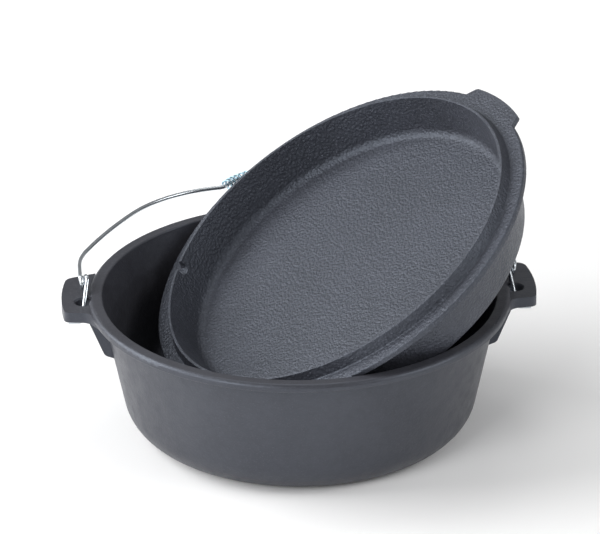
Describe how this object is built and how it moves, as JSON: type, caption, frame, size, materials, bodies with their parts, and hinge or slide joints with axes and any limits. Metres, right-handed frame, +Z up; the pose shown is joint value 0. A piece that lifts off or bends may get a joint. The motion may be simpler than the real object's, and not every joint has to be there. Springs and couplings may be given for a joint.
{
  "type": "dutch oven",
  "caption": "Round cast iron pot with flat ears, a deep reversible lid leaning in its mouth, and a folded wire bail with a coil spring grip.",
  "frame": {"origin": "centre of the pot's flat base, on the surface it stands on", "axes": "+X through the right ear's bail hole, -Y to the front, +Z up"},
  "size_m": [0.336, 0.3406, 0.215],
  "materials": {
    "pot_iron": "pre-seasoned satin, dark grey",
    "lid_iron": "pre-seasoned, pebbled sand-cast grain",
    "zinc_wire": "bright zinc plated wire",
    "zinc_spring": "bluish zinc plated spring wire"
  },
  "bodies": {
    "pot": {"pot": "pot_iron"},
    "lid": {"lid": "lid_iron"},
    "bail": {"bail_wire": "zinc_wire", "grip_spring": "zinc_spring"}
  },
  "joints": [
    {"name": "lid_lift", "type": "slide", "parent": "pot", "child": "lid", "axis": [0, -0.2588, 0.9659], "range_m": [0, 0.4]},
    {"name": "bail_swing", "type": "hinge", "parent": "pot", "child": "bail", "pos_m": [0, 0, 0.0932], "axis": [1, 0, 0], "range_deg": [0, 90]}
  ],
  "couplings": [
    {"joint": "bail_swing", "follows": "lid_lift", "rad_per_m": 3.927}
  ]
}
